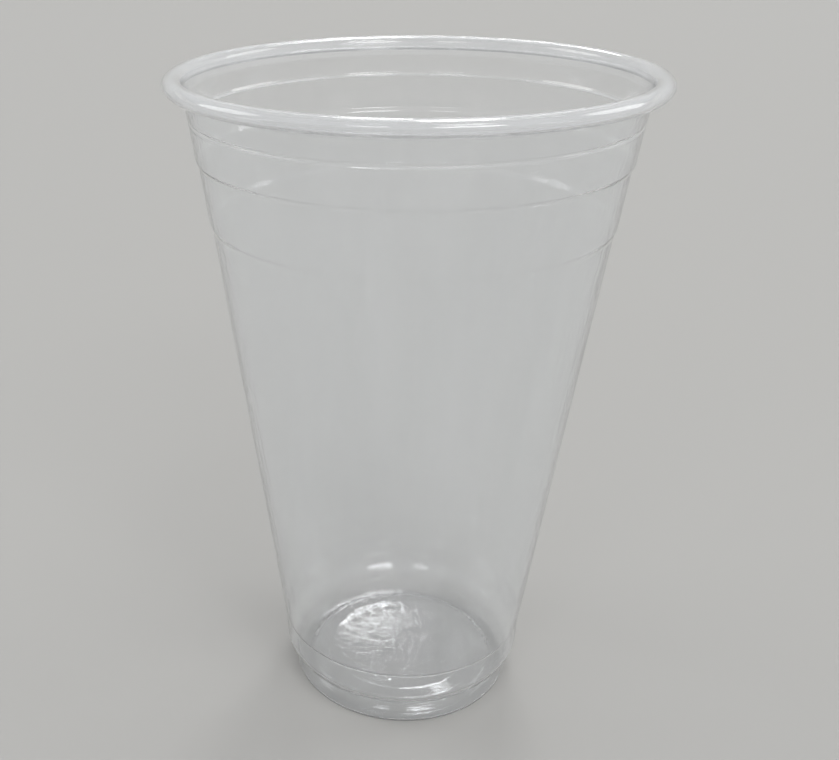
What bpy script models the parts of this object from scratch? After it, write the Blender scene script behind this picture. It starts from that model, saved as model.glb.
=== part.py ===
"""Clear disposable drinking cup: one thin turned shell with a rolled lip, stacking rings and a raised base.

Run with: blender --background --python part.py
Units are metres, +Z is up, and the cup stands on z = 0 with its axis on the Z axis.
"""
import math

import bpy

# Overall size
CUP_HEIGHT = 0.1385
RIM_DIAMETER = 0.095
SHEET_THICKNESS = 0.0004

# Rolled lip: an oval roll that curls outwards and back under
LIP_WIDTH = 0.0039
LIP_HEIGHT = 0.0031
CURL_GAP = 0.0004

# Rings pressed into the wall, top to bottom: each narrows the wall below it, and the top one is grooved
RING_DEPTHS = (0.00745, 0.015, 0.0273)
RING_HEIGHTS = (0.0013, 0.0012, 0.0016)
RING_STEPS = (0.00008, 0.00044, 0.00036)
GROOVE_DEPTH = 0.00017

# Upright stacking band above the foot: a small step leads in to it, and the shoulder steps in below it
BAND_DIAMETER = 0.0554
BAND_TOP = 0.015
BAND_STEP = 0.00016
BAND_STEP_HEIGHT = 0.0007
BAND_BOTTOM = 0.0095
BAND_DRAFT = 0.0001
SHOULDER_BOTTOM = 0.0045

# Foot: an upright wall, a rounded heel and the flat ring that touches the table
FOOT_DIAMETER = 0.0508
FOOT_DRAFT = 0.0001
HEEL_RADIUS = 0.0008
CONTACT_WIDTH = 0.0018

# Raised base inside the foot: a ledge, a straight slope and a slightly domed panel
LEDGE_DIAMETER = 0.041
LEDGE_HEIGHT = 0.0019
LEDGE_WIDTH = 0.0004
PANEL_DIAMETER = 0.033
PANEL_HEIGHT = 0.0025
PANEL_DOME = 0.0003

# Fineness of the turned surface
TURN_STEPS = 64
LIP_STEPS = 12
GROOVE_CURVE_STEPS = 4
RING_CURVE_STEPS = 3
BAND_CURVE_STEPS = 3
SHOULDER_CURVE_STEPS = 5
HEEL_ARC_STEPS = 3
BASE_CURVE_STEPS = 3
DOME_SHARES = (0.6, 0.0)
MERGE_DISTANCE = 0.00001

# The roll's hidden face, which the outline follows
LIP_CENTRE_RADIUS = (RIM_DIAMETER - LIP_WIDTH) / 2
LIP_CENTRE_HEIGHT = CUP_HEIGHT - LIP_HEIGHT / 2
ROLL_HALF_WIDTH = LIP_WIDTH / 2 - SHEET_THICKNESS
ROLL_HALF_HEIGHT = LIP_HEIGHT / 2 - SHEET_THICKNESS

# The wall between the lip and the stacking band
WALL_TOP_RADIUS = LIP_CENTRE_RADIUS - ROLL_HALF_WIDTH
BAND_RADIUS = BAND_DIAMETER / 2
WALL_NARROWING = WALL_TOP_RADIUS - BAND_RADIUS - BAND_STEP - sum(RING_STEPS)
WALL_TAPER = WALL_NARROWING / (LIP_CENTRE_HEIGHT - BAND_TOP)


def shares(count):
    """Even shares from 0 to 1, both ends included."""
    return [step / count for step in range(count + 1)]


def ease(share):
    """Rise smoothly from 0 to 1 and level out at both ends."""
    held = min(max(share, 0), 1)
    return (1 - math.cos(math.pi * held)) / 2


def swell(share):
    """Rise smoothly from 0 to 1 half way and back to 0."""
    return ease(1 - abs(2 * share - 1))


def blend(start, end, share):
    return start + (end - start) * share


def wall_radius(height):
    """Outer radius of the wall: a straight taper, the steps below this height, and the groove."""
    radius = BAND_RADIUS + WALL_TAPER * (height - BAND_TOP)
    radius += BAND_STEP * ease((height - BAND_TOP) / BAND_STEP_HEIGHT)
    for depth, ring_height, step in zip(RING_DEPTHS, RING_HEIGHTS, RING_STEPS):
        ring_bottom = CUP_HEIGHT - depth - ring_height
        radius += step * ease((height - ring_bottom) / ring_height)
    groove_bottom = CUP_HEIGHT - RING_DEPTHS[0] - RING_HEIGHTS[0]
    return radius - GROOVE_DEPTH * swell((height - groove_bottom) / RING_HEIGHTS[0])


def lip_outline():
    """Hidden face of the roll, from the curled edge under the lip, round and over to the wall."""
    edge_share = (CURL_GAP + SHEET_THICKNESS) / ROLL_HALF_WIDTH - 1
    edge_angle = -math.acos(edge_share)
    points = []
    for share in shares(LIP_STEPS):
        angle = blend(edge_angle, math.pi, share)
        radius = LIP_CENTRE_RADIUS + ROLL_HALF_WIDTH * math.cos(angle)
        height = LIP_CENTRE_HEIGHT + ROLL_HALF_HEIGHT * math.sin(angle)
        points.append((radius, height))
    return points


def wall_outline():
    """Outer face of the tapered wall below the lip: each ring's step, then the step in to the stacking band."""
    points = []
    curve_steps = (GROOVE_CURVE_STEPS, RING_CURVE_STEPS, RING_CURVE_STEPS)
    for depth, ring_height, steps in zip(RING_DEPTHS, RING_HEIGHTS, curve_steps):
        for share in shares(steps):
            height = CUP_HEIGHT - depth - ring_height * share
            points.append((wall_radius(height), height))
    for share in shares(BAND_CURVE_STEPS):
        height = BAND_TOP + BAND_STEP_HEIGHT * (1 - share)
        points.append((wall_radius(height), height))
    return points


def shoulder_outline():
    """Foot of the stacking band, and the curve that steps in to the foot's upright wall."""
    band_foot_radius = BAND_RADIUS - BAND_DRAFT
    foot_radius = FOOT_DIAMETER / 2
    points = []
    for share in shares(SHOULDER_CURVE_STEPS):
        radius = blend(band_foot_radius, foot_radius, ease(share))
        points.append((radius, blend(BAND_BOTTOM, SHOULDER_BOTTOM, share)))
    return points


def foot_outline():
    """Rounded heel under the foot's upright wall, and the flat ring that touches the table."""
    heel_centre = FOOT_DIAMETER / 2 - FOOT_DRAFT - HEEL_RADIUS
    points = []
    for share in shares(HEEL_ARC_STEPS):
        angle = share * math.pi / 2
        radius = heel_centre + HEEL_RADIUS * math.cos(angle)
        points.append((radius, HEEL_RADIUS * (1 - math.sin(angle))))
    points.append((heel_centre - CONTACT_WIDTH, 0))
    return points


def base_outline():
    """Raised base inside the foot: up to the ledge, up the slope to the panel, and in to the centre."""
    contact_radius = FOOT_DIAMETER / 2 - FOOT_DRAFT - HEEL_RADIUS - CONTACT_WIDTH
    ledge_radius = LEDGE_DIAMETER / 2
    panel_radius = PANEL_DIAMETER / 2
    points = []
    for share in shares(BASE_CURVE_STEPS)[1:]:
        points.append((blend(contact_radius, ledge_radius, share), LEDGE_HEIGHT * ease(share)))
    points.append((ledge_radius - LEDGE_WIDTH, LEDGE_HEIGHT))
    points.append((panel_radius, PANEL_HEIGHT))
    for share in DOME_SHARES:
        points.append((panel_radius * share, PANEL_HEIGHT + PANEL_DOME * (1 - share ** 2)))
    return points


def clear_plastic():
    """Clear, faintly hazy sheet plastic."""
    material = bpy.data.materials.new("clear_plastic")
    material.use_nodes = True
    shader = material.node_tree.nodes["Principled BSDF"]
    shader.inputs["Base Color"].default_value = (0.82, 0.86, 0.88, 1)
    shader.inputs["Metallic"].default_value = 0
    shader.inputs["Roughness"].default_value = 0.12
    shader.inputs["IOR"].default_value = 1.49
    shader.inputs["Transmission Weight"].default_value = 0.9
    return material


def make_cup(collection):
    """Turn the outline into the cup's outer face and thicken it inwards into the sheet."""
    outline = lip_outline() + wall_outline() + shoulder_outline() + foot_outline() + base_outline()
    verts = [(radius, 0, height) for radius, height in outline]
    edges = [(start, start + 1) for start in range(len(verts) - 1)]
    mesh = bpy.data.meshes.new("cup")
    mesh.from_pydata(verts, edges, [])
    cup = bpy.data.objects.new("cup", mesh)
    collection.objects.link(cup)
    mesh.materials.append(clear_plastic())

    turn = cup.modifiers.new("Turn", "SCREW")
    turn.axis = "Z"
    turn.steps = TURN_STEPS
    turn.render_steps = TURN_STEPS
    turn.use_merge_vertices = True
    turn.merge_threshold = MERGE_DISTANCE
    turn.use_smooth_shade = True

    sheet = cup.modifiers.new("Sheet", "SOLIDIFY")
    sheet.thickness = SHEET_THICKNESS
    sheet.offset = -1
    sheet.use_even_offset = True
    sheet.use_quality_normals = True
    return cup


def main():
    for item in list(bpy.data.objects):
        bpy.data.objects.remove(item, do_unlink=True)
    collection = bpy.data.collections.new("plastic_cup")
    bpy.context.scene.collection.children.link(collection)
    make_cup(collection)


if __name__ == "__main__":
    main()
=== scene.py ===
"""Clear disposable drinking cup: the finished surface of the cup, its plastic, and a plain studio."""

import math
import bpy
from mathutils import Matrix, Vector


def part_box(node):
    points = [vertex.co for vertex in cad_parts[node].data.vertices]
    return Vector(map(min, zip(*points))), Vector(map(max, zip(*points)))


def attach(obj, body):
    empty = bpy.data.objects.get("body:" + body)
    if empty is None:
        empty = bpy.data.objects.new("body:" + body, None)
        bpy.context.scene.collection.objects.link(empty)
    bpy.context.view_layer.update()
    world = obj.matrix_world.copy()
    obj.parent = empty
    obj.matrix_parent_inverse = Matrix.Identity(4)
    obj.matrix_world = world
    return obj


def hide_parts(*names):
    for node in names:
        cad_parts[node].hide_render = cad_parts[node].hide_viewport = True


bl_info = {
    "name": "Clear Drinking Cup",
    "version": (1, 0, 0),
    "blender": (4, 5, 0),
    "location": "3D View > Sidebar > Cup",
    "description": "Makes a clear thin-walled drinking cup with a rolled lip, and a plain studio round it",
    "category": "Add Mesh",
}

import bpy
from mathutils import Euler, Vector

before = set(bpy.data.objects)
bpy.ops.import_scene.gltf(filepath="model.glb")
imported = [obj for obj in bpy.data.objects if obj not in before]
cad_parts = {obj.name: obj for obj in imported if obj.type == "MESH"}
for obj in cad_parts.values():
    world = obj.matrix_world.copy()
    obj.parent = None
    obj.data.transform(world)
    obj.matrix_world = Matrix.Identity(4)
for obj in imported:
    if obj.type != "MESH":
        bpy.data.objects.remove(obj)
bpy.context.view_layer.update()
CUP_LOW, CUP_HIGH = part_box("cup")

# Fineness of the finished surface: rows over each ring and the band's step, and over the spans above them
TURN_STEPS = 280
LIP_STEPS = 40
RING_ROWS = (10, 10, 10, 8)
SPAN_ROWS = (2, 2, 4, 20)
SHOULDER_STEPS = 12
HEEL_STEPS = 8
BASE_STEPS = 10
PANEL_SHARES = (0.98, 0.95, 0.93)
MARK_ROWS = 14
CENTRE_ROWS = 10
RAMP_ROUNDING = 0.1
MERGE_DISTANCE = 0.00001
BOX_MARGIN = 0.000003
SHARP_ANGLE = math.radians(50)

# Ripples of the formed wall: this many times longer down the wall than round it
RIPPLE_STRETCH = 6.0
RIPPLE_DETAIL = 1.0
RIPPLE_SEED = 3.0
NOISE_MIDDLE = 0.5

# Arcs of the base that carry raised dots, as the angle from +X towards +Y
MARK_ARCS = (
    (math.radians(94), math.radians(148)),
    (math.radians(219), math.radians(258)),
)

# Clear polypropylene: its index, how much light goes through the wall and the lip, and its roughness
PLASTIC_IOR = 1.49
WALL_CLEAR = 0.975
LIP_CLEAR = 0.87
LIP_HAZE_DEPTH = 0.0036
LIP_HAZE_FADE = 0.0006
ROUGHNESS = (0.015, 0.07)
ROUGH_NOISE = (0.35, 0.7)

# Stretch marks, long down the wall, and the orange peel of the cooled sheet: widths and depths as real sizes
STREAK_WIDTH = 0.0022
STREAK_STRETCH = 14.0
STREAK_DEPTH = 0.000016
STREAK_DETAIL = 3.0
PEEL_SIZE = 0.0009
PEEL_DEPTH = 0.00001
PEEL_DETAIL = 1.0

# The share of that grain on the foot and the base, and the shallow dimples of the base's panel
BASE_GRAIN = 0.1
DIMPLE_SIZE = 0.0018
DIMPLE_DEPTH = 0.00009
DIMPLE_DETAIL = 2.0

# Whiter lines: patchy all round the top ring, partly rubbed and partly a painted highlight, and a painted
# highlight on one side of the step above the stacking band
SCUFF_HIGHLIGHT_WIDTH = 0.00045
SCUFF_HIGHLIGHT_LENGTH = 0.016
SCUFF_HIGHLIGHT_DETAIL = 2.0
SCUFF_HIGHLIGHT_HAZE = 0.35
SCUFF_HIGHLIGHT_NOISE = (0.4, 0.62)
SCUFF_HIGHLIGHT_PATCHES = (0.25, 1.0)
# Painted highlight: the side of the band's step that is made whiter, and how much on the far and near sides
PAINTED_HIGHLIGHT_SIDE = (0.42, -0.9, 0.0)
PAINTED_HIGHLIGHT_SIDE_SHARES = (0.06, 1.0)

# Broad upright bands of haze
HAZE_WIDTH = 0.009
HAZE_DETAIL = 2.0
HAZE_BANDS = 0.03
HAZE_NOISE = (0.35, 0.65)

# Shadow of the clear wall: where the fade to a glancing view starts, and the light let through at its two ends
GLANCE_BLEND = 0.5
GLANCE_START = 0.4
GLANCE_CLEAR = (0.93, 0.3)

# Studio floor and surroundings. Heights are the upward part of a direction
FLOOR_RADIUS = 6.0
FLOOR_SIDES = 96
FLOOR_GAP = 0.00002
FLOOR_ROUGHNESS = 0.8
FLOOR_GLOSS = 0.2
GLOW_HEIGHTS = (0.35, 0.75)
BACKDROP_HEIGHTS = (0.0, 0.4)

# Softboxes round the cup, each with its shape, direction, width, height, and share of the floor's light
LAMP_DISTANCE = 9.0
SOFTBOXES = (
    ("softbox_back", "RECTANGLE", (0.144, 0.555, 0.819), 1.65, 1.24, 0.1),
    ("softbox_strip", "RECTANGLE", (0.145, 0.54, 0.829), 5.4, 0.34, 0.03),
    ("softbox_window", "RECTANGLE", (0.007, 0.811, 0.585), 1.0, 0.36, 0.013),
    ("softbox_pane", "RECTANGLE", (0.0, 0.845, 0.534), 0.9, 0.28, 0.008),
    ("softbox_top", "RECTANGLE", (0.244, -0.383, 0.891), 2.6, 1.25, 0.08),
    ("softbox_key", "ELLIPSE", (0.303, -0.75, 0.588), 4.6, 1.9, 0.13),
    ("softbox_fill", "ELLIPSE", (-0.35, -0.74, 0.588), 2.6, 1.6, 0.03),
    ("softbox_left", "ELLIPSE", (-1.0, 0.25, 0.6), 5.0, 5.0, 0.085),
    ("softbox_right", "ELLIPSE", (1.0, 0.25, 0.6), 5.0, 5.0, 0.085),
)

# Camera: film width and focal length in millimetres, and its place in metres
SENSOR_WIDTH = 36.0
FOCAL_LENGTH = 45.66
CAMERA_SHIFT = (0.1019, 0.0544)
CAMERA_PLACE = (-0.01591, -0.20844, 0.17133)
CAMERA_PITCH = math.radians(27.484)
CAMERA_ROLL = math.radians(-0.552)
CAMERA_NEAREST = 0.01

# Sockets of a Mix node that mixes colours
MIX_FACTOR, MIX_A, MIX_B = 0, 6, 7
MIX_RESULT = 2


def metres(name, description, default):
    """A length property, shown in the scene's own units."""
    return bpy.props.FloatProperty(
        name=name, description=description, default=default,
        min=0, precision=5, unit="LENGTH", subtype="DISTANCE"
    )


def ring_metres(name, description, default):
    """A length property with one value for each of the three rings."""
    return bpy.props.FloatVectorProperty(
        name=name, description=description, default=default, precision=5, unit="LENGTH"
    )


def linear(hex_colour):
    """Turn an sRGB hex colour into the linear values that shaders take, with alpha 1."""
    channels = []
    for place in (1, 3, 5):
        value = int(hex_colour[place:place + 2], 16) / 255
        channels.append(value / 12.92 if value <= 0.04045 else ((value + 0.055) / 1.055) ** 2.4)
    return (*channels, 1)


def colour(name, description, default):
    """A colour property, with its default given as the sRGB hex value that the eye sees."""
    return bpy.props.FloatVectorProperty(
        name=name, description=description, default=linear(default), size=4, min=0, max=1, subtype="COLOR"
    )


class CupSizes(bpy.types.PropertyGroup):
    """Sizes of the cup's section, from the lip down"""

    height: metres("Height", "Table to the top of the lip", CUP_HIGH[2] - CUP_LOW[2] - BOX_MARGIN)
    rim_diameter: metres("Rim diameter", "Outside of the lip", CUP_HIGH[0] - CUP_LOW[0] - BOX_MARGIN)
    sheet: metres("Sheet", "Thickness of the plastic sheet", 0.0004)
    lip_width: metres("Lip width", "Width of the roll", 0.0039)
    lip_height: metres("Lip height", "Height of the roll", 0.0031)
    curl_gap: metres("Curl gap", "Gap between the curled edge and the wall", 0.0004)
    ring_depths: ring_metres("Ring depths", "Top of the lip to each ring", (0.00745, 0.015, 0.0273))
    ring_heights: ring_metres("Ring heights", "Height of each ring's step", (0.0013, 0.0012, 0.0016))
    ring_steps: ring_metres("Ring steps", "How far each ring steps in", (0.00008, 0.00044, 0.00036))
    groove_depth: metres("Groove depth", "Depth of the groove in the top ring", 0.00017)
    band_diameter: metres("Band diameter", "Upright stacking band above the foot", 0.0554)
    band_top: metres("Band top", "Table to the top of the stacking band", 0.015)
    band_step: metres("Band step", "How far the wall stands out above the band", 0.00016)
    band_step_height: metres("Band step height", "Height of the step in to the band", 0.0007)
    band_bottom: metres("Band bottom", "Table to the bottom of the stacking band", 0.0095)
    band_draft: metres("Band draft", "How far the band narrows to its bottom", 0.0001)
    shoulder_bottom: metres("Shoulder bottom", "Table to where the shoulder meets the foot", 0.0045)
    foot_diameter: metres("Foot diameter", "Outside of the foot's upright wall", 0.0508)
    foot_draft: metres("Foot draft", "How far the foot's wall narrows to the heel", 0.0001)
    heel_radius: metres("Heel radius", "Rounding under the foot's wall", 0.0008)
    contact_width: metres("Contact width", "Flat ring that touches the table", 0.0018)
    ledge_diameter: metres("Ledge diameter", "Outside of the ledge inside the foot", 0.041)
    ledge_height: metres("Ledge height", "Table to the ledge", 0.0019)
    ledge_width: metres("Ledge width", "Width of the ledge", 0.0004)
    panel_diameter: metres("Panel diameter", "Raised panel in the base", 0.033)
    panel_height: metres("Panel height", "Table to the panel's edge", 0.0025)
    panel_dome: metres("Panel dome", "Rise of the panel to its centre", 0.0003)
    ripple_depth: metres("Ripple depth", "Unevenness that the forming leaves in the wall", 0.00005)
    ripple_width: metres("Ripple width", "Width of one ripple round the wall", 0.009)
    mark_radius: metres("Mark radius", "Radius of one raised dot on the panel", 0.0012)
    mark_height: metres("Mark height", "Height of one raised dot", 0.00014)
    mark_spacing: metres("Mark spacing", "Distance between raised dots", 0.0034)
    mark_ring: metres("Mark ring", "Radius of the circle that the dots lie on", 0.0138)


class CupFinish(bpy.types.PropertyGroup):
    """Colours of the cup and its studio"""

    plastic: colour("Plastic", "Tint of the clear plastic", "#FBFCFD")
    floor: colour("Floor", "Colour of the studio floor", "#BEBDBA")
    horizon: colour("Horizon", "Colour of the lit studio walls round the cup", "#F0F0F0")
    ceiling: colour("Ceiling", "Colour of the studio overhead", "#808285")
    backdrop: colour("Backdrop", "Colour of the board behind the cup", "#E0E1E1")


def add_node(tree, kind, inputs=None, **settings):
    """Add a node, give it its settings, and fill its inputs with values or with other nodes' outputs."""
    node = tree.nodes.new(kind)
    for name, value in settings.items():
        setattr(node, name, value)
    for key, value in (inputs or {}).items():
        if isinstance(value, bpy.types.NodeSocket):
            tree.links.new(value, node.inputs[key])
        else:
            node.inputs[key].default_value = value
    return node


def shares(count):
    """Even shares from 0 to 1, both ends included."""
    return [step / count for step in range(count + 1)]


def ease(share):
    """Rise smoothly from 0 to 1 and level out at both ends."""
    held = min(max(share, 0), 1)
    return (1 - math.cos(math.pi * held)) / 2


def swell(share):
    """Rise smoothly from 0 to 1 half way and back to 0."""
    return ease(1 - abs(2 * share - 1))


def ramp(share):
    """Rise from 0 to 1 along a straight line whose two ends are rounded."""
    if share > 0.5:
        return 1 - ramp(1 - share)
    start = min(share, RAMP_ROUNDING)
    return (start * start / (2 * RAMP_ROUNDING) + share - start) / (1 - RAMP_ROUNDING)


def blend(start, end, share):
    return start + (end - start) * share


def lip_centre(cup):
    """Radius and height of the middle of the roll."""
    return (cup.rim_diameter - cup.lip_width) / 2, cup.height - cup.lip_height / 2


def wall_radius(cup, height):
    """Outer radius of the wall: a straight taper, the steps below this height, and the groove."""
    centre_radius, centre_height = lip_centre(cup)
    top_radius = centre_radius - (cup.lip_width / 2 - cup.sheet)
    band_radius = cup.band_diameter / 2
    narrowing = top_radius - band_radius - cup.band_step - sum(cup.ring_steps)
    radius = band_radius + narrowing / (centre_height - cup.band_top) * (height - cup.band_top)
    radius += cup.band_step * ease((height - cup.band_top) / cup.band_step_height)
    for depth, ring_height, step in zip(cup.ring_depths, cup.ring_heights, cup.ring_steps):
        ring_bottom = cup.height - depth - ring_height
        radius += step * ease((height - ring_bottom) / ring_height)
    groove_bottom = cup.height - cup.ring_depths[0] - cup.ring_heights[0]
    return radius - cup.groove_depth * swell((height - groove_bottom) / cup.ring_heights[0])


def lip_outline(cup):
    """Hidden face of the roll, from the curled edge under the lip, round and over to the wall."""
    centre_radius, centre_height = lip_centre(cup)
    half_width = cup.lip_width / 2 - cup.sheet
    half_height = cup.lip_height / 2 - cup.sheet
    edge_angle = -math.acos((cup.curl_gap + cup.sheet) / half_width - 1)
    points = []
    for share in shares(LIP_STEPS):
        angle = blend(edge_angle, math.pi, share)
        radius = centre_radius + half_width * math.cos(angle)
        points.append((radius, centre_height + half_height * math.sin(angle)))
    return points


def wall_outline(cup):
    """Outer face of the wall from under the lip to the stacking band, with close rows over each ring."""
    marks = [lip_centre(cup)[1]]
    for depth, ring_height in zip(cup.ring_depths, cup.ring_heights):
        marks += [cup.height - depth, cup.height - depth - ring_height]
    marks += [cup.band_top + cup.band_step_height, cup.band_top]
    heights = []
    for place, (top, bottom) in enumerate(zip(marks[:-1], marks[1:])):
        rows = RING_ROWS[place // 2] if place % 2 else SPAN_ROWS[place // 2]
        heights += [blend(top, bottom, share) for share in shares(rows)[1:]]
    return [(wall_radius(cup, height), height) for height in heights]


def foot_outline(cup):
    """Shoulder under the stacking band, the foot's upright wall, its heel and the ring on the table."""
    foot_radius = cup.foot_diameter / 2
    points = []
    for share in shares(SHOULDER_STEPS):
        radius = blend(cup.band_diameter / 2 - cup.band_draft, foot_radius, ease(share))
        points.append((radius, blend(cup.band_bottom, cup.shoulder_bottom, share)))
    heel_centre = foot_radius - cup.foot_draft - cup.heel_radius
    for share in shares(HEEL_STEPS):
        angle = share * math.pi / 2
        radius = heel_centre + cup.heel_radius * math.cos(angle)
        points.append((radius, cup.heel_radius * (1 - math.sin(angle))))
    points.append((heel_centre - cup.contact_width, 0))
    return points


def base_outline(cup):
    """Raised base inside the foot: ledge, slope, panel with close rows under the dots, and the centre."""
    contact_radius = cup.foot_diameter / 2 - cup.foot_draft - cup.heel_radius - cup.contact_width
    ledge_radius = cup.ledge_diameter / 2
    panel_radius = cup.panel_diameter / 2
    points = []
    for share in shares(BASE_STEPS)[1:]:
        points.append((blend(contact_radius, ledge_radius, share), cup.ledge_height * ease(share)))
    for share in shares(BASE_STEPS):
        radius = blend(ledge_radius - cup.ledge_width, panel_radius, share)
        points.append((radius, blend(cup.ledge_height, cup.panel_height, ramp(share))))
    radii = [panel_radius * share for share in PANEL_SHARES]
    outer = cup.mark_ring + cup.mark_radius
    inner = cup.mark_ring - cup.mark_radius
    radii += [blend(outer, inner, share) for share in shares(MARK_ROWS)]
    radii += [blend(inner, 0, share) for share in shares(CENTRE_ROWS)[1:]]
    for radius in radii:
        points.append((radius, cup.panel_height + cup.panel_dome * (1 - (radius / panel_radius) ** 2)))
    return points


def rippled_radius(tree, cup, given, point, cosine, sine):
    """Radius with long soft waves down the wall: none from the top ring up, and none from the band down."""
    along_x = add_node(tree, "ShaderNodeMath", {0: point["X"], 1: cosine}, operation="MULTIPLY").outputs[0]
    along_y = add_node(tree, "ShaderNodeMath", {0: point["X"], 1: sine}, operation="MULTIPLY").outputs[0]
    along_z = {0: point["Z"], 1: RIPPLE_STRETCH}
    along_z = add_node(tree, "ShaderNodeMath", along_z, operation="DIVIDE").outputs[0]
    spot = add_node(tree, "ShaderNodeCombineXYZ", {0: along_x, 1: along_y, 2: along_z}).outputs[0]
    scale = {0: 1.0, 1: given["Ripple width"]}
    scale = add_node(tree, "ShaderNodeMath", scale, operation="DIVIDE").outputs[0]
    noise = {"Vector": spot, "Scale": scale, "Detail": RIPPLE_DETAIL, "W": RIPPLE_SEED}
    noise = add_node(tree, "ShaderNodeTexNoise", noise, noise_dimensions="4D").outputs[0]
    wave = add_node(tree, "ShaderNodeMath", {0: noise, 1: NOISE_MIDDLE}, operation="SUBTRACT").outputs[0]
    wave = {0: wave, 1: given["Ripple depth"]}
    wave = add_node(tree, "ShaderNodeMath", wave, operation="MULTIPLY").outputs[0]
    top_ring, next_ring = (cup.height - depth for depth in cup.ring_depths[:2])
    for none, full in ((cup.band_top, cup.band_top * 2), (top_ring, next_ring)):
        fade = {"Value": point["Z"], "From Min": none, "From Max": full}
        fade = add_node(tree, "ShaderNodeMapRange", fade, interpolation_type="SMOOTHSTEP").outputs[0]
        wave = add_node(tree, "ShaderNodeMath", {0: wave, 1: fade}, operation="MULTIPLY").outputs[0]
    return add_node(tree, "ShaderNodeMath", {0: point["X"], 1: wave}).outputs[0]


def dotted_height(tree, given, point, angle):
    """Dots evenly spaced on a circle of the base, kept only inside the arcs that carry them."""
    pitch = {0: given["Mark spacing"], 1: given["Mark ring"]}
    pitch = add_node(tree, "ShaderNodeMath", pitch, operation="DIVIDE").outputs[0]
    turns = add_node(tree, "ShaderNodeMath", {0: angle, 1: pitch}, operation="DIVIDE").outputs[0]
    nearest = add_node(tree, "ShaderNodeMath", {0: turns}, operation="ROUND").outputs[0]
    aside = add_node(tree, "ShaderNodeMath", {0: turns, 1: nearest}, operation="SUBTRACT").outputs[0]
    aside = {0: aside, 1: given["Mark spacing"]}
    aside = add_node(tree, "ShaderNodeMath", aside, operation="MULTIPLY").outputs[0]
    inward = {0: point["X"], 1: given["Mark ring"]}
    inward = add_node(tree, "ShaderNodeMath", inward, operation="SUBTRACT").outputs[0]
    away = add_node(tree, "ShaderNodeCombineXYZ", {0: aside, 1: inward}).outputs[0]
    away = add_node(tree, "ShaderNodeVectorMath", {0: away}, operation="LENGTH").outputs["Value"]
    dot = {"Value": away, "From Max": given["Mark radius"], "To Min": given["Mark height"], "To Max": 0.0}
    dot = add_node(tree, "ShaderNodeMapRange", dot, interpolation_type="SMOOTHSTEP").outputs[0]
    centre = add_node(tree, "ShaderNodeMath", {0: nearest, 1: pitch}, operation="MULTIPLY").outputs[0]
    kept = 0.0
    for start, end in MARK_ARCS:
        arc = {0: centre, 1: (start + end) / 2, 2: (end - start) / 2}
        arc = add_node(tree, "ShaderNodeMath", arc, operation="COMPARE").outputs[0]
        kept = add_node(tree, "ShaderNodeMath", {0: arc, 1: kept}, operation="MAXIMUM").outputs[0]
    dot = add_node(tree, "ShaderNodeMath", {0: dot, 1: kept}, operation="MULTIPLY").outputs[0]
    return add_node(tree, "ShaderNodeMath", {0: point["Z"], 1: dot}).outputs[0]


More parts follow.
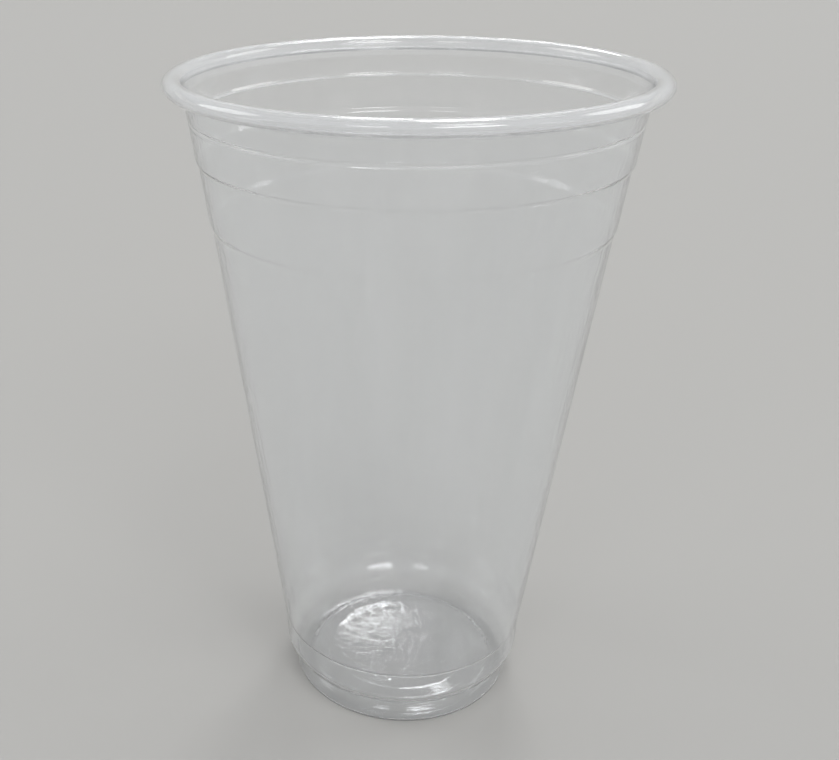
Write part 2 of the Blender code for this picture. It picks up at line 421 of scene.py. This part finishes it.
def turning_tree(cup, material):
    """Geometry Nodes that turn an outline into a surface, ripple its wall and raise dots on its base."""
    tree = bpy.data.node_groups.new("turned_sheet", "GeometryNodeTree")
    sides = tree.interface
    sides.new_socket("Geometry", in_out="INPUT", socket_type="NodeSocketGeometry")
    sides.new_socket("Steps", in_out="INPUT", socket_type="NodeSocketInt")
    for name in ("Ripple depth", "Ripple width", "Mark ring", "Mark radius", "Mark height", "Mark spacing"):
        sides.new_socket(name, in_out="INPUT", socket_type="NodeSocketFloat")
    sides.new_socket("Geometry", in_out="OUTPUT", socket_type="NodeSocketGeometry")
    given = add_node(tree, "NodeGroupInput").outputs

    # A flat grid with one row of points for each point of the outline
    count = {"Geometry": given["Geometry"]}
    count = add_node(tree, "GeometryNodeAttributeDomainSize", count).outputs["Point Count"]
    columns = add_node(tree, "ShaderNodeMath", {0: given["Steps"], 1: 1.0}).outputs[0]
    grid = {"Vertices X": columns, "Vertices Y": count}
    grid = add_node(tree, "GeometryNodeMeshGrid", grid).outputs["Mesh"]
    index = add_node(tree, "GeometryNodeInputIndex").outputs[0]
    row = add_node(tree, "ShaderNodeMath", {0: index, 1: count}, operation="FLOORED_MODULO").outputs[0]
    column = add_node(tree, "ShaderNodeMath", {0: index, 1: count}, operation="DIVIDE").outputs[0]
    column = add_node(tree, "ShaderNodeMath", {0: column}, operation="FLOOR").outputs[0]
    turn = {0: column, 1: given["Steps"]}
    turn = add_node(tree, "ShaderNodeMath", turn, operation="DIVIDE").outputs[0]
    angle = add_node(tree, "ShaderNodeMath", {0: turn, 1: math.tau}, operation="MULTIPLY").outputs[0]
    place = add_node(tree, "GeometryNodeInputPosition").outputs[0]
    point = {"Geometry": given["Geometry"], "Value": place, "Index": row}
    point = add_node(tree, "GeometryNodeSampleIndex", point, data_type="FLOAT_VECTOR").outputs[0]
    point = add_node(tree, "ShaderNodeSeparateXYZ", {0: point}).outputs
    cosine = add_node(tree, "ShaderNodeMath", {0: angle}, operation="COSINE").outputs[0]
    sine = add_node(tree, "ShaderNodeMath", {0: angle}, operation="SINE").outputs[0]

    # The turned surface itself
    radius = rippled_radius(tree, cup, given, point, cosine, sine)
    height = dotted_height(tree, given, point, angle)
    across = add_node(tree, "ShaderNodeMath", {0: radius, 1: cosine}, operation="MULTIPLY").outputs[0]
    back = add_node(tree, "ShaderNodeMath", {0: radius, 1: sine}, operation="MULTIPLY").outputs[0]
    turned = add_node(tree, "ShaderNodeCombineXYZ", {0: across, 1: back, 2: height}).outputs[0]
    shape = add_node(tree, "GeometryNodeSetPosition", {"Geometry": grid, "Position": turned}).outputs[0]
    shape = {"Geometry": shape, "Distance": MERGE_DISTANCE}
    shape = add_node(tree, "GeometryNodeMergeByDistance", shape).outputs[0]
    shape = add_node(tree, "GeometryNodeFlipFaces", {"Mesh": shape}).outputs[0]
    shape = add_node(tree, "GeometryNodeSetShadeSmooth", {"Geometry": shape}).outputs[0]
    shape = add_node(tree, "GeometryNodeRealizeInstances", {"Geometry": shape}).outputs[0]
    shape = add_node(tree, "GeometryNodeSetMaterial", {"Geometry": shape, "Material": material}).outputs[0]
    add_node(tree, "NodeGroupOutput", {"Geometry": shape})
    return tree


def sheet_grain(tree, cup, place, height):
    """Roughness and bump of the formed sheet: stretch marks, orange peel, and the panel's dimples."""
    squash = (1 / STREAK_WIDTH, 1 / STREAK_WIDTH, 1 / (STREAK_WIDTH * STREAK_STRETCH))
    streak = add_node(tree, "ShaderNodeMapping", {"Vector": place, "Scale": squash}).outputs[0]
    streak = {"Vector": streak, "Scale": 1.0, "Detail": STREAK_DETAIL}
    streak = add_node(tree, "ShaderNodeTexNoise", streak).outputs[0]
    peel = {"Vector": place, "Scale": 1 / PEEL_SIZE, "Detail": PEEL_DETAIL}
    peel = add_node(tree, "ShaderNodeTexNoise", peel).outputs[0]
    dimple = {"Vector": place, "Scale": 1 / DIMPLE_SIZE, "Detail": DIMPLE_DETAIL}
    dimple = add_node(tree, "ShaderNodeTexNoise", dimple).outputs[0]

    # The grain fades out down the shoulder, and the dimples fade out between the dots and the panel's edge
    wall = {"Value": height, "From Min": cup.shoulder_bottom, "From Max": cup.band_top, "To Min": BASE_GRAIN}
    wall = add_node(tree, "ShaderNodeMapRange", wall, interpolation_type="SMOOTHSTEP").outputs[0]
    from_centre = add_node(tree, "ShaderNodeVectorMath", {0: place}, operation="LENGTH").outputs["Value"]
    panel = {
        "Value": from_centre, "From Min": cup.mark_ring, "From Max": cup.panel_diameter / 2,
        "To Min": 1.0, "To Max": 0.0,
    }
    panel = add_node(tree, "ShaderNodeMapRange", panel).outputs[0]

    bump = {"Height": streak, "Strength": wall, "Distance": STREAK_DEPTH}
    bump = add_node(tree, "ShaderNodeBump", bump).outputs[0]
    for grain, strength, depth in ((peel, wall, PEEL_DEPTH), (dimple, panel, DIMPLE_DEPTH)):
        bump = {"Height": grain, "Strength": strength, "Distance": depth, "Normal": bump}
        bump = add_node(tree, "ShaderNodeBump", bump).outputs[0]
    rough = {
        "Value": streak, "From Min": ROUGH_NOISE[0], "From Max": ROUGH_NOISE[1],
        "To Min": ROUGHNESS[0], "To Max": ROUGHNESS[1],
    }
    return add_node(tree, "ShaderNodeMapRange", rough).outputs[0], bump


def scuffs_and_painted_highlights(tree, cup, place, height):
    """How white the sheet is made at the top ring and above the band: partly rubbed where stacked cups touch
    and partly a painted highlight at the top ring, and a painted highlight on one side of the band's step.
    """
    # Patchy whiter line round the top ring: partly rubbing, partly a painted highlight
    scuff_highlight_patches = {"Vector": place, "Scale": 1 / SCUFF_HIGHLIGHT_LENGTH, "Detail": SCUFF_HIGHLIGHT_DETAIL}
    scuff_highlight_patches = add_node(tree, "ShaderNodeTexNoise", scuff_highlight_patches).outputs[0]
    scuff_highlight_patches = {
        "Value": scuff_highlight_patches, "From Min": SCUFF_HIGHLIGHT_NOISE[0], "From Max": SCUFF_HIGHLIGHT_NOISE[1],
        "To Min": SCUFF_HIGHLIGHT_PATCHES[0], "To Max": SCUFF_HIGHLIGHT_PATCHES[1],
    }
    scuff_highlight_patches = add_node(tree, "ShaderNodeMapRange", scuff_highlight_patches).outputs[0]
    # Painted highlight: the step above the band is made whiter on one side only
    painted_highlight_side = {0: place, 1: PAINTED_HIGHLIGHT_SIDE}
    painted_highlight_side = add_node(tree, "ShaderNodeVectorMath", painted_highlight_side, operation="DOT_PRODUCT").outputs["Value"]
    painted_highlight_side = {
        "Value": painted_highlight_side, "From Max": cup.band_diameter / 2,
        "To Min": PAINTED_HIGHLIGHT_SIDE_SHARES[0], "To Max": PAINTED_HIGHLIGHT_SIDE_SHARES[1],
    }
    painted_highlight_side = add_node(tree, "ShaderNodeMapRange", painted_highlight_side, interpolation_type="SMOOTHSTEP").outputs[0]
    top_ring = cup.height - cup.ring_depths[0] - cup.ring_heights[0] / 2
    band_edge = cup.band_top + cup.band_step_height / 2
    scuff_and_highlight = 0.0
    for edge, share in ((top_ring, scuff_highlight_patches), (band_edge, painted_highlight_side)):
        away = add_node(tree, "ShaderNodeMath", {0: height, 1: edge}, operation="SUBTRACT").outputs[0]
        away = add_node(tree, "ShaderNodeMath", {0: away}, operation="ABSOLUTE").outputs[0]
        line = {"Value": away, "From Max": SCUFF_HIGHLIGHT_WIDTH, "To Min": SCUFF_HIGHLIGHT_HAZE, "To Max": 0.0}
        line = add_node(tree, "ShaderNodeMapRange", line, interpolation_type="SMOOTHSTEP").outputs[0]
        line = add_node(tree, "ShaderNodeMath", {0: line, 1: share}, operation="MULTIPLY").outputs[0]
        scuff_and_highlight = add_node(tree, "ShaderNodeMath", {0: line, 1: scuff_and_highlight}, operation="MAXIMUM").outputs[0]
    return scuff_and_highlight


def clearness(tree, cup, place, height):
    """Share of light that goes through: less in the milky lip, in the whiter lines at the rings (partly
    rubbed, partly painted highlight) and in the bands of haze.
    """
    lip_bottom = cup.height - LIP_HAZE_DEPTH
    lip = {
        "Value": height, "From Min": lip_bottom - LIP_HAZE_FADE, "From Max": lip_bottom,
        "To Min": WALL_CLEAR, "To Max": LIP_CLEAR,
    }
    clear = add_node(tree, "ShaderNodeMapRange", lip, interpolation_type="SMOOTHSTEP").outputs[0]
    squash = (1 / HAZE_WIDTH, 1 / HAZE_WIDTH, 1 / (HAZE_WIDTH * STREAK_STRETCH))
    bands = add_node(tree, "ShaderNodeMapping", {"Vector": place, "Scale": squash}).outputs[0]
    bands = {"Vector": bands, "Scale": 1.0, "Detail": HAZE_DETAIL}
    bands = add_node(tree, "ShaderNodeTexNoise", bands).outputs[0]
    bands = {"Value": bands, "From Min": HAZE_NOISE[0], "From Max": HAZE_NOISE[1], "To Max": HAZE_BANDS}
    bands = add_node(tree, "ShaderNodeMapRange", bands).outputs[0]
    for haze in (scuffs_and_painted_highlights(tree, cup, place, height), bands):
        clear = add_node(tree, "ShaderNodeMath", {0: clear, 1: haze}, operation="SUBTRACT").outputs[0]
    return clear


def clear_polypropylene(cup, finish):
    """Clear polypropylene, thermoformed from sheet.

    To the eye it is glossy and colourless, faintly milky at the lip, with soft upright stretch marks.
    """
    material = bpy.data.materials.new("clear_polypropylene_thermoformed")
    material.use_nodes = True
    tree = material.node_tree
    tree.nodes.clear()
    place = add_node(tree, "ShaderNodeTexCoord").outputs["Object"]
    height = add_node(tree, "ShaderNodeSeparateXYZ", {0: place}).outputs["Z"]
    rough, bump = sheet_grain(tree, cup, place, height)
    plastic = add_node(
        tree, "ShaderNodeBsdfPrincipled",
        {"Base Color": finish.plastic, "Roughness": rough, "IOR": PLASTIC_IOR,
         "Transmission Weight": clearness(tree, cup, place, height), "Normal": bump}
    ).outputs[0]

    # A thin clear wall casts a light shadow, and a darker one where light meets it at a glancing angle
    glancing = add_node(tree, "ShaderNodeLayerWeight", {"Blend": GLANCE_BLEND}).outputs["Facing"]
    glancing = {
        "Value": glancing, "From Min": GLANCE_START, "To Min": GLANCE_CLEAR[0], "To Max": GLANCE_CLEAR[1],
    }
    glancing = add_node(tree, "ShaderNodeMapRange", glancing).outputs[0]
    shadow = add_node(tree, "ShaderNodeBsdfTransparent", {"Color": glancing}).outputs[0]
    rays = add_node(tree, "ShaderNodeLightPath").outputs
    straight = {0: rays["Is Shadow Ray"], 1: rays["Is Diffuse Ray"]}
    straight = add_node(tree, "ShaderNodeMath", straight, operation="MAXIMUM").outputs[0]
    surface = add_node(tree, "ShaderNodeMixShader", {0: straight, 1: plastic, 2: shadow}).outputs[0]
    add_node(tree, "ShaderNodeOutputMaterial", {"Surface": surface})
    return material


def studio_paint(paint_colour):
    """Matt painted board: even and almost without gloss, so that only the cup's shadow shows on it."""
    material = bpy.data.materials.new("studio_floor_paint")
    material.use_nodes = True
    shader = material.node_tree.nodes["Principled BSDF"]
    shader.inputs["Base Color"].default_value = paint_colour
    shader.inputs["Roughness"].default_value = FLOOR_ROUGHNESS
    shader.inputs["Specular IOR Level"].default_value = FLOOR_GLOSS
    return material


def studio_surroundings(finish):
    """Soft light from pale walls and a darker ceiling.

    Seen straight, mirrored in the cup or through it, a plain board stands there instead.
    """
    world = bpy.data.worlds.new("studio_surroundings")
    world.use_nodes = True
    tree = world.node_tree
    way = add_node(tree, "ShaderNodeTexCoord").outputs["Generated"]
    height = add_node(tree, "ShaderNodeSeparateXYZ", {0: way}).outputs["Z"]
    glow = (GLOW_HEIGHTS, finish.horizon, finish.ceiling)
    board = (BACKDROP_HEIGHTS, finish.floor, finish.backdrop)
    tones = []
    for (start, end), low, high in (glow, board):
        rise = {"Value": height, "From Min": start, "From Max": end}
        rise = add_node(tree, "ShaderNodeMapRange", rise, interpolation_type="SMOOTHSTEP").outputs[0]
        tone = {MIX_FACTOR: rise, MIX_A: low, MIX_B: high}
        tones.append(add_node(tree, "ShaderNodeMix", tone, data_type="RGBA").outputs[MIX_RESULT])
    rays = add_node(tree, "ShaderNodeLightPath").outputs
    seen = rays["Is Camera Ray"]
    for kind in ("Is Glossy Ray", "Is Transmission Ray"):
        seen = add_node(tree, "ShaderNodeMath", {0: seen, 1: rays[kind]}, operation="MAXIMUM").outputs[0]
    shown = {MIX_FACTOR: seen, MIX_A: tones[0], MIX_B: tones[1]}
    shown = add_node(tree, "ShaderNodeMix", shown, data_type="RGBA").outputs[MIX_RESULT]
    tree.links.new(shown, tree.nodes["Background"].inputs["Color"])
    return world


def add_to_scene(context, name, data):
    """Make an object of this data and put it in the scene."""
    item = bpy.data.objects.new(name, data)
    context.collection.objects.link(item)
    return item


class CUP_OT_make_cup(bpy.types.Operator):
    """Turn the cup's section into one thin clear shell"""

    bl_idname = "cup.make_cup"
    bl_label = "Make Cup"

    def execute(self, context):
        cup, finish = context.scene.cup_sizes, context.scene.cup_finish
        points = lip_outline(cup) + wall_outline(cup) + foot_outline(cup) + base_outline(cup)
        outline = bpy.data.meshes.new("cup_outline")
        edges = [(start, start + 1) for start in range(len(points) - 1)]
        outline.from_pydata([(radius, 0, height) for radius, height in points], edges, [])
        draft = add_to_scene(context, "cup_draft", outline)

        turn = draft.modifiers.new("Turn", "NODES")
        turn.node_group = turning_tree(cup, clear_polypropylene(cup, finish))
        values = {
            "Steps": TURN_STEPS, "Ripple depth": cup.ripple_depth, "Ripple width": cup.ripple_width,
            "Mark ring": cup.mark_ring, "Mark radius": cup.mark_radius, "Mark height": cup.mark_height,
            "Mark spacing": cup.mark_spacing,
        }
        for item in turn.node_group.interface.items_tree:
            if item.in_out == "INPUT" and item.name in values:
                turn[item.identifier] = values[item.name]
        sheet = draft.modifiers.new("Sheet", "SOLIDIFY")
        sheet.thickness = cup.sheet
        sheet.offset = -1
        sheet.use_even_offset = True
        sheet.use_quality_normals = True

        evaluated = draft.evaluated_get(context.evaluated_depsgraph_get())
        finished = bpy.data.meshes.new_from_object(evaluated)
        finished.set_sharp_from_angle(angle=SHARP_ANGLE)
        piece = add_to_scene(context, "clear_cup", finished)
        bpy.data.objects.remove(draft, do_unlink=True)
        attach(piece, "root")
        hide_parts("cup")
        return {"FINISHED"}


class CUP_OT_set_studio(bpy.types.Operator):
    """Add the pale floor, the soft lights and the camera"""

    bl_idname = "cup.set_studio"
    bl_label = "Set Studio"

    def execute(self, context):
        finish = context.scene.cup_finish
        bpy.ops.mesh.primitive_circle_add(vertices=FLOOR_SIDES, radius=FLOOR_RADIUS, fill_type="NGON")
        floor = context.active_object
        floor.name = "studio_floor"
        floor.location.z = -FLOOR_GAP
        floor.data.materials.append(studio_paint(finish.floor))
        context.scene.world = studio_surroundings(finish)

        for name, shape, direction, width, height, share in SOFTBOXES:
            lamp = bpy.data.lights.new(name, "AREA")
            lamp.shape = shape
            lamp.size, lamp.size_y = width, height
            towards = Vector(direction).normalized()
            # With all the shares and the surroundings, a colour on the floor renders about as written
            lamp.energy = share * (math.pi * LAMP_DISTANCE) ** 2 / towards.z
            box = add_to_scene(context, name, lamp)
            box.location = towards * LAMP_DISTANCE
            box.rotation_euler = towards.to_track_quat("Z", "Y").to_euler()

        lens = bpy.data.cameras.new("camera")
        lens.sensor_width = SENSOR_WIDTH
        lens.lens = FOCAL_LENGTH
        lens.shift_x, lens.shift_y = CAMERA_SHIFT
        lens.clip_start = CAMERA_NEAREST
        camera = add_to_scene(context, "camera", lens)
        camera.location = CAMERA_PLACE
        tilt = Euler((math.radians(90) - CAMERA_PITCH, 0, 0)).to_matrix()
        roll = Euler((0, 0, CAMERA_ROLL)).to_matrix()
        camera.rotation_euler = (tilt @ roll).to_euler()
        context.scene.camera = camera
        context.scene.view_settings.view_transform = "Standard"
        return {"FINISHED"}


class CUP_PT_sidebar(bpy.types.Panel):
    """Sizes, colours and steps of the cup"""

    bl_label = "Clear Drinking Cup"
    bl_idname = "CUP_PT_sidebar"
    bl_space_type = "VIEW_3D"
    bl_region_type = "UI"
    bl_category = "Cup"

    def draw(self, context):
        for group in (context.scene.cup_sizes, context.scene.cup_finish):
            for name in group.__annotations__:
                self.layout.prop(group, name)
        self.layout.operator(CUP_OT_make_cup.bl_idname)
        self.layout.operator(CUP_OT_set_studio.bl_idname)


CLASSES = (CupSizes, CupFinish, CUP_OT_make_cup, CUP_OT_set_studio, CUP_PT_sidebar)


def register():
    for item in CLASSES:
        bpy.utils.register_class(item)
    bpy.types.Scene.cup_sizes = bpy.props.PointerProperty(type=CupSizes)
    bpy.types.Scene.cup_finish = bpy.props.PointerProperty(type=CupFinish)


def unregister():
    del bpy.types.Scene.cup_finish
    del bpy.types.Scene.cup_sizes
    for item in reversed(CLASSES):
        bpy.utils.unregister_class(item)


def main():
    register()
    bpy.ops.cup.make_cup()
    bpy.ops.cup.set_studio()


if __name__ == "__main__":
    main()
